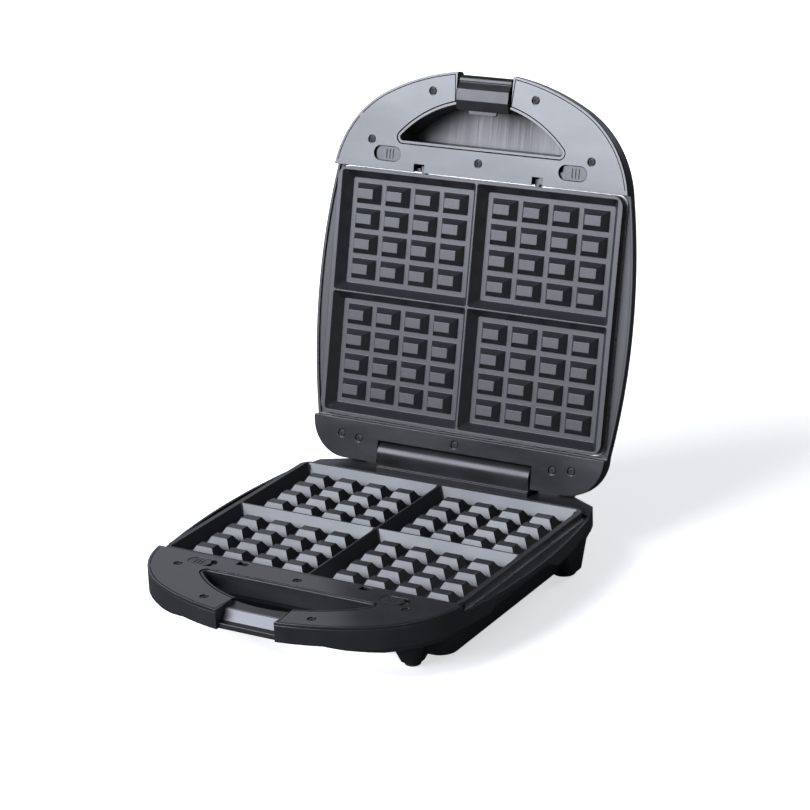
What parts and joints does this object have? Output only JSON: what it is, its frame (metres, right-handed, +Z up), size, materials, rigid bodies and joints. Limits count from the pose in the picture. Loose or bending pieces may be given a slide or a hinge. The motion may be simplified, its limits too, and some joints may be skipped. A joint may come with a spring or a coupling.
{
  "type": "multi-plate sandwich maker",
  "caption": "Hinged waffle and sandwich maker, open: two lift-out grid plates in dark housings with loop handles, sliding plate catches and a drop-over latch.",
  "frame": {"origin": "on the table, below the middle of the whole open machine", "axes": "+X to the right seen from the handle side, +Y from the handle towards the hinge, +Z up; the rest pose is the open lid"},
  "size_m": [0.2846, 0.4072, 0.3697],
  "materials": {
    "dark_housing": "satin",
    "dark_trim": "satin",
    "nonstick": "satin",
    "tray_steel": "satin",
    "tray_aluminium": "satin",
    "element_steel": "satin",
    "ceramic": "satin",
    "light_plastic": "matte",
    "rubber": "matte",
    "screw_steel": "satin",
    "rod_steel": "polished",
    "grey_button": "satin",
    "brushed": "brushed",
    "red_lens": "gloss",
    "green_lens": "gloss"
  },
  "bodies": {
    "base": {"base_heater": "element_steel", "base_panel": "dark_trim", "base_saddles": "tray_steel", "base_screws": "screw_steel", "base_shell": "dark_housing", "base_terminals": "ceramic", "base_thermostat": "ceramic", "base_tray": "tray_steel", "cord_bush": "rubber", "foot_pads": "rubber", "hinge_block": "dark_trim", "hinge_rod": "rod_steel", "lid_stops": "dark_housing", "striker": "dark_trim", "terminal_block": "light_plastic"},
    "lid": {"lamp_power": "red_lens", "lamp_ready": "green_lens", "latch_pin": "rod_steel", "lid_cover": "brushed", "lid_heater": "element_steel", "lid_panel": "dark_trim", "lid_rear_panel": "dark_trim", "lid_saddles": "tray_steel", "lid_screws": "screw_steel", "lid_shell": "dark_housing", "lid_terminals": "ceramic", "lid_tray": "tray_aluminium", "thermal_cutout": "ceramic"},
    "latch": {"latch": "dark_trim"},
    "base_plate_body": {"base_plate": "nonstick", "base_plate_lug_left": "screw_steel", "base_plate_lug_right": "screw_steel"},
    "lid_plate_body": {"lid_plate": "nonstick", "lid_plate_lug_left": "screw_steel", "lid_plate_lug_right": "screw_steel"},
    "base_slider_left_body": {"base_slider_left": "grey_button"},
    "base_slider_right_body": {"base_slider_right": "grey_button"},
    "lid_slider_left_body": {"lid_slider_left": "grey_button"},
    "lid_slider_right_body": {"lid_slider_right": "grey_button"}
  },
  "joints": [
    {"name": "lid_hinge", "type": "hinge", "parent": "base", "child": "lid", "pos_m": [0, 0.11171, 0.06114], "axis": [1, 0, 0], "range_deg": [0, 103.2]},
    {"name": "latch_pivot", "type": "hinge", "parent": "lid", "child": "latch", "pos_m": [0, 0.18018, 0.36242], "axis": [-1, 0, 0], "range_deg": [0, 90]},
    {"name": "base_slide_left", "type": "slide", "parent": "base", "child": "base_slider_left_body", "axis": [1, 0, 0], "range_m": [0, 0.0045]},
    {"name": "base_slide_right", "type": "slide", "parent": "base", "child": "base_slider_right_body", "axis": [1, 0, 0], "range_m": [0, 0.0045]},
    {"name": "lid_slide_left", "type": "slide", "parent": "lid", "child": "lid_slider_left_body", "axis": [-1, 0, 0], "range_m": [0, 0.0045]},
    {"name": "lid_slide_right", "type": "slide", "parent": "lid", "child": "lid_slider_right_body", "axis": [-1, 0, 0], "range_m": [0, 0.0045]},
    {"name": "base_plate_lift", "type": "slide", "parent": "base", "child": "base_plate_body", "axis": [0, 0, -1], "range_m": [-0.03, 0]},
    {"name": "lid_plate_lift", "type": "slide", "parent": "lid", "child": "lid_plate_body", "axis": [0, 0.9736, -0.2284], "range_m": [-0.03, 0]}
  ]
}
